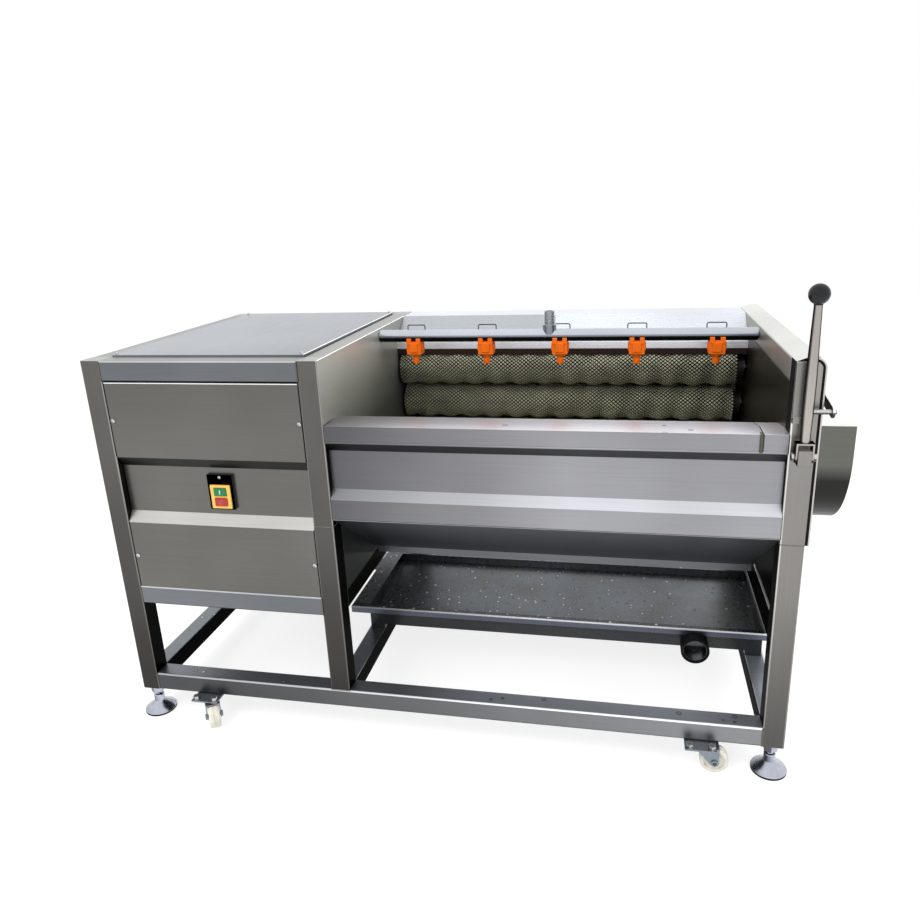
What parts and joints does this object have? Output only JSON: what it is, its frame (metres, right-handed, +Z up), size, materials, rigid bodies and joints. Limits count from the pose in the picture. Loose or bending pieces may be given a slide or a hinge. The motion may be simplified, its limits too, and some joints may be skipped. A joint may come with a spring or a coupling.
{
  "type": "roller vegetable washer",
  "caption": "Floor-standing brush roller washer for vegetables: tube frame, drive cabinet, roller trough with spray pipe, drip tray and gated discharge spout.",
  "frame": {"origin": "on the floor, under the middle of the overall box", "axes": "+X along the rollers towards the discharge spout, +Y from the feed front to the rear, +Z up"},
  "size_m": [1.796, 0.9218, 1.137],
  "materials": {
    "stainless": "brushed stainless sheet and tube",
    "dark_steel": "brushed stainless sheet in shade",
    "bright_steel": "plain bright steel",
    "mirror_steel": "finely polished stainless sheet",
    "zinc_steel": "zinc plated pressing",
    "chrome": "chrome plated",
    "gasket_rubber": "black sheet rubber",
    "black_plastic": "black moulded plastic",
    "black_gloss": "polished black plastic ball",
    "orange_plastic": "orange moulded plastic",
    "green_plastic": "green moulded plastic",
    "red_plastic": "red moulded plastic",
    "white_nylon": "off-white nylon",
    "bristle_nylon": "olive nylon bristle",
    "bearing_iron": "painted cast iron",
    "chain_steel": "oiled steel",
    "motor_alloy": "painted alloy casting"
  },
  "bodies": {
    "washer_frame": {"frame_posts": "stainless", "base_rails": "stainless", "upper_rails": "stainless", "left_end_wall": "stainless", "right_end_wall": "stainless", "trough_front": "dark_steel", "front_rail": "stainless", "trough_rear": "stainless", "hopper_sheets": "dark_steel", "end_gasket": "gasket_rubber", "end_cover": "stainless", "chute": "stainless", "fixings": "bright_steel", "lever_bracket": "stainless", "cabinet_front_panel": "stainless", "cabinet_panels": "stainless", "panel_screws": "bright_steel", "switch_body": "black_plastic", "cable_gland": "black_plastic", "spray_pipe": "bright_steel", "spray_nozzles": "orange_plastic", "shaft_bearings": "bearing_iron", "drive_chains": "chain_steel", "gearmotor": "motor_alloy", "tray": "dark_steel", "caster_plates": "zinc_steel"},
    "gate": {"gate": "stainless"},
    "gate_link": {"gate_link": "stainless"},
    "gate_lever": {"gate_lever": "chrome", "lever_knob": "black_gloss"},
    "top_cover": {"top_cover": "mirror_steel"},
    "start_button": {"start_button": "green_plastic"},
    "stop_button": {"stop_button": "red_plastic"},
    "drive_sprocket": {"drive_sprocket": "chain_steel"},
    "roller_1": {"roller_1": "bristle_nylon"},
    "roller_2": {"roller_2": "bristle_nylon"},
    "roller_3": {"roller_3": "bristle_nylon"},
    "roller_4": {"roller_4": "bristle_nylon"},
    "roller_5": {"roller_5": "bristle_nylon"},
    "roller_6": {"roller_6": "bristle_nylon"},
    "roller_7": {"roller_7": "bristle_nylon"},
    "roller_8": {"roller_8": "bristle_nylon"},
    "roller_9": {"roller_9": "bristle_nylon"},
    "nozzle_bail_1": {"nozzle_bail_1": "bright_steel"},
    "nozzle_bail_2": {"nozzle_bail_2": "bright_steel"},
    "nozzle_bail_3": {"nozzle_bail_3": "bright_steel"},
    "nozzle_bail_4": {"nozzle_bail_4": "bright_steel"},
    "nozzle_bail_5": {"nozzle_bail_5": "bright_steel"},
    "caster_fork_1": {"caster_fork_1": "zinc_steel"},
    "caster_wheel_1": {"caster_wheel_1": "white_nylon"},
    "caster_fork_2": {"caster_fork_2": "zinc_steel"},
    "caster_wheel_2": {"caster_wheel_2": "white_nylon"},
    "caster_fork_3": {"caster_fork_3": "zinc_steel"},
    "caster_wheel_3": {"caster_wheel_3": "white_nylon"},
    "caster_fork_4": {"caster_fork_4": "zinc_steel"},
    "caster_wheel_4": {"caster_wheel_4": "white_nylon"},
    "foot_1": {"foot_1": "chrome"},
    "foot_2": {"foot_2": "chrome"},
    "foot_3": {"foot_3": "chrome"},
    "foot_4": {"foot_4": "chrome"}
  },
  "joints": [
    {"name": "gate_swing", "type": "hinge", "parent": "washer_frame", "child": "gate", "pos_m": [0.781, 0, 0.85], "axis": [1, 0, 0], "range_deg": [0, 70]},
    {"name": "lever_pull", "type": "hinge", "parent": "washer_frame", "child": "gate_lever", "pos_m": [0.743, -0.42, 0.795], "axis": [1, 0, 0], "range_deg": [0, 70]},
    {"name": "link_pivot", "type": "hinge", "parent": "gate", "child": "gate_link", "pos_m": [0.7885, 0, 0.944], "axis": [1, 0, 0], "range_deg": [-70, 0]},
    {"name": "cover_lift", "type": "slide", "parent": "washer_frame", "child": "top_cover", "axis": [0, 0, 1], "range_m": [0, 0.2]},
    {"name": "start_press", "type": "slide", "parent": "washer_frame", "child": "start_button", "axis": [0, 1, 0], "range_m": [0, 0.0025], "stiffness_N_per_m": 400},
    {"name": "stop_press", "type": "slide", "parent": "washer_frame", "child": "stop_button", "axis": [0, 1, 0], "range_m": [0, 0.0025], "stiffness_N_per_m": 400},
    {"name": "drive_spin", "type": "hinge", "parent": "washer_frame", "child": "drive_sprocket", "pos_m": [-0.377, -0.07, 0.64], "axis": [1, 0, 0], "continuous": true},
    {"name": "roller_1_spin", "type": "hinge", "parent": "washer_frame", "child": "roller_1", "pos_m": [0.218, 0.23716, 0.84124], "axis": [1, 0, 0], "continuous": true},
    {"name": "roller_2_spin", "type": "hinge", "parent": "washer_frame", "child": "roller_2", "pos_m": [0.218, 0.26486, 0.73149], "axis": [1, 0, 0], "continuous": true},
    {"name": "roller_3_spin", "type": "hinge", "parent": "washer_frame", "child": "roller_3", "pos_m": [0.218, 0.24424, 0.62018], "axis": [1, 0, 0], "continuous": true},
    {"name": "roller_4_spin", "type": "hinge", "parent": "washer_frame", "child": "roller_4", "pos_m": [0.218, 0.17905, 0.52764], "axis": [1, 0, 0], "continuous": true},
    {"name": "roller_5_spin", "type": "hinge", "parent": "washer_frame", "child": "roller_5", "pos_m": [0.218, 0.08118, 0.47074], "axis": [1, 0, 0], "continuous": true},
    {"name": "roller_6_spin", "type": "hinge", "parent": "washer_frame", "child": "roller_6", "pos_m": [0.218, -0.03149, 0.45988], "axis": [1, 0, 0], "continuous": true},
    {"name": "roller_7_spin", "type": "hinge", "parent": "washer_frame", "child": "roller_7", "pos_m": [0.218, -0.13842, 0.49703], "axis": [1, 0, 0], "continuous": true},
    {"name": "roller_8_spin", "type": "hinge", "parent": "washer_frame", "child": "roller_8", "pos_m": [0.218, -0.2201, 0.57541], "axis": [1, 0, 0], "continuous": true},
    {"name": "roller_9_spin", "type": "hinge", "parent": "washer_frame", "child": "roller_9", "pos_m": [0.218, -0.26161, 0.68072], "axis": [1, 0, 0], "continuous": true},
    {"name": "bail_1_fold", "type": "hinge", "parent": "washer_frame", "child": "nozzle_bail_1", "pos_m": [-0.182, 0.0765, 0.9585], "axis": [1, 0, 0], "range_deg": [-110, 0]},
    {"name": "bail_2_fold", "type": "hinge", "parent": "washer_frame", "child": "nozzle_bail_2", "pos_m": [0.018, 0.0765, 0.9585], "axis": [1, 0, 0], "range_deg": [-110, 0]},
    {"name": "bail_3_fold", "type": "hinge", "parent": "washer_frame", "child": "nozzle_bail_3", "pos_m": [0.218, 0.0765, 0.9585], "axis": [1, 0, 0], "range_deg": [-110, 0]},
    {"name": "bail_4_fold", "type": "hinge", "parent": "washer_frame", "child": "nozzle_bail_4", "pos_m": [0.418, 0.0765, 0.9585], "axis": [1, 0, 0], "range_deg": [-110, 0]},
    {"name": "bail_5_fold", "type": "hinge", "parent": "washer_frame", "child": "nozzle_bail_5", "pos_m": [0.618, 0.0765, 0.9585], "axis": [1, 0, 0], "range_deg": [-110, 0]},
    {"name": "caster_1_swivel", "type": "hinge", "parent": "washer_frame", "child": "caster_fork_1", "pos_m": [-0.682, -0.398, 0.071], "axis": [0, 0, 1], "continuous": true},
    {"name": "caster_1_roll", "type": "hinge", "parent": "caster_fork_1", "child": "caster_wheel_1", "pos_m": [-0.6625, -0.42585, 0.035], "axis": [0.8192, 0.5736, 0], "continuous": true},
    {"name": "caster_2_swivel", "type": "hinge", "parent": "washer_frame", "child": "caster_fork_2", "pos_m": [0.581, -0.398, 0.071], "axis": [0, 0, 1], "continuous": true},
    {"name": "caster_2_roll", "type": "hinge", "parent": "caster_fork_2", "child": "caster_wheel_2", "pos_m": [0.615, -0.398, 0.035], "axis": [0, 1, 0], "continuous": true},
    {"name": "caster_3_swivel", "type": "hinge", "parent": "washer_frame", "child": "caster_fork_3", "pos_m": [-0.682, 0.398, 0.071], "axis": [0, 0, 1], "continuous": true},
    {"name": "caster_3_roll", "type": "hinge", "parent": "caster_fork_3", "child": "caster_wheel_3", "pos_m": [-0.6625, 0.42585, 0.035], "axis": [-0.8192, 0.5736, 0], "continuous": true},
    {"name": "caster_4_swivel", "type": "hinge", "parent": "washer_frame", "child": "caster_fork_4", "pos_m": [0.581, 0.398, 0.071], "axis": [0, 0, 1], "continuous": true},
    {"name": "caster_4_roll", "type": "hinge", "parent": "caster_fork_4", "child": "caster_wheel_4", "pos_m": [0.615, 0.398, 0.035], "axis": [0, 1, 0], "continuous": true},
    {"name": "foot_1_turn", "type": "hinge", "parent": "washer_frame", "child": "foot_1", "pos_m": [-0.857, -0.375, 0.084], "axis": [0, 0, 1], "continuous": true},
    {"name": "foot_2_turn", "type": "hinge", "parent": "washer_frame", "child": "foot_2", "pos_m": [0.743, -0.375, 0.084], "axis": [0, 0, 1], "continuous": true},
    {"name": "foot_3_turn", "type": "hinge", "parent": "washer_frame", "child": "foot_3", "pos_m": [-0.857, 0.375, 0.084], "axis": [0, 0, 1], "continuous": true},
    {"name": "foot_4_turn", "type": "hinge", "parent": "washer_frame", "child": "foot_4", "pos_m": [0.743, 0.375, 0.084], "axis": [0, 0, 1], "continuous": true}
  ],
  "couplings": [
    {"joint": "lever_pull", "follows": "gate_swing", "ratio": 1},
    {"joint": "link_pivot", "follows": "gate_swing", "ratio": -1},
    {"joint": "drive_spin", "follows": "roller_1_spin", "ratio": 1},
    {"joint": "roller_2_spin", "follows": "roller_1_spin", "ratio": 1},
    {"joint": "roller_3_spin", "follows": "roller_1_spin", "ratio": 1},
    {"joint": "roller_4_spin", "follows": "roller_1_spin", "ratio": 1},
    {"joint": "roller_5_spin", "follows": "roller_1_spin", "ratio": 1},
    {"joint": "roller_6_spin", "follows": "roller_1_spin", "ratio": 1},
    {"joint": "roller_7_spin", "follows": "roller_1_spin", "ratio": 1},
    {"joint": "roller_8_spin", "follows": "roller_1_spin", "ratio": 1},
    {"joint": "roller_9_spin", "follows": "roller_1_spin", "ratio": 1}
  ]
}
